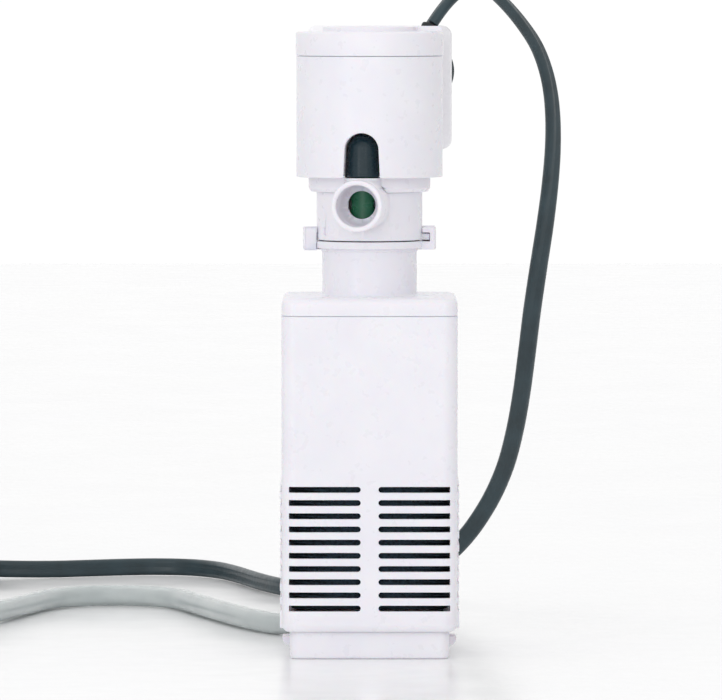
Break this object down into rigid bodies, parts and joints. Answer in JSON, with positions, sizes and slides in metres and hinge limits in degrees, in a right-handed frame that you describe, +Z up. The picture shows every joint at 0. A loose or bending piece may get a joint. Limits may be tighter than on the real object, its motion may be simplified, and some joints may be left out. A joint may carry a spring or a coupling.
{
  "type": "internal power filter",
  "caption": "Upright aquarium filter: a round pump head with an outlet spout and flow knob, twisted onto a square slotted foam canister, with a mains lead and an air hose.",
  "frame": {"origin": "on the pump head's axis, at the surface the base cap stands on", "axes": "+Z up along the pump head's axis, -Y to the front where the outlet spout points, +X to the right"},
  "size_m": [0.2644, 0.3173, 0.1986],
  "materials": {
    "white_abs": "satin",
    "grey_abs": "satin",
    "knob_abs": "satin",
    "valve_abs": "satin",
    "foam": "matte",
    "black_rubber": "matte",
    "cup_rubber": "satin",
    "core_steel": "satin",
    "copper_winding": "satin",
    "potting": "satin",
    "ferrite": "satin",
    "shaft_ceramic": "gloss",
    "lead_pvc": "satin",
    "tie_plastic": "matte",
    "plug_nickel": "satin",
    "hose_pvc": "satin"
  },
  "bodies": {
    "pump_head": {"top_cap": "white_abs", "motor_cover": "white_abs", "motor_housing": "white_abs", "stator_core": "core_steel", "stator_coil_left": "copper_winding", "stator_coil_right": "copper_winding", "potting_resin": "potting", "rotor_shaft": "shaft_ceramic", "shaft_bush_top": "black_rubber", "shaft_bush_bottom": "black_rubber", "pump_chamber": "white_abs", "chamber_seal": "black_rubber", "intake_plate": "grey_abs", "cord_gland": "black_rubber", "air_nipple": "white_abs", "power_cord": "lead_pvc", "power_cord_coil": "lead_pvc", "power_cord_tail": "lead_pvc", "cord_tie": "tie_plastic", "plug_body": "lead_pvc", "plug_pin_left": "plug_nickel", "plug_pin_right": "plug_nickel", "air_hose": "hose_pvc", "air_hose_coil": "hose_pvc", "hose_tie": "tie_plastic"},
    "rotor": {"rotor_magnet": "ferrite", "impeller": "white_abs"},
    "flow_control": {"flow_knob": "knob_abs", "flow_valve": "valve_abs", "knob_seal": "black_rubber"},
    "canister": {"canister_lid": "white_abs", "neck_seal": "black_rubber", "canister_body": "white_abs", "media_grid": "grey_abs", "filter_sponge": "foam"},
    "base": {"base_cap": "white_abs"},
    "bracket": {"hanger_bracket": "white_abs", "suction_cup_left": "cup_rubber", "suction_cup_right": "cup_rubber"}
  },
  "joints": [
    {"name": "rotor_spin", "type": "hinge", "parent": "pump_head", "child": "rotor", "pos_m": [0, 0, 0.14], "axis": [0, 0, 1], "continuous": true},
    {"name": "flow_turn", "type": "hinge", "parent": "pump_head", "child": "flow_control", "pos_m": [-0.00177, -0.0155, 0.14], "axis": [0, 0, 1], "range_deg": [0, 90]},
    {"name": "canister_twist", "type": "hinge", "parent": "pump_head", "child": "canister", "pos_m": [0, 0, 0.1215], "axis": [0, 0, 1], "range_deg": [0, 25]},
    {"name": "base_pull", "type": "slide", "parent": "canister", "child": "base", "axis": [0, 0, -1], "range_m": [0, 0.012]},
    {"name": "bracket_slide", "type": "slide", "parent": "pump_head", "child": "bracket", "axis": [0, 0, 1], "range_m": [0, 0.02]}
  ]
}
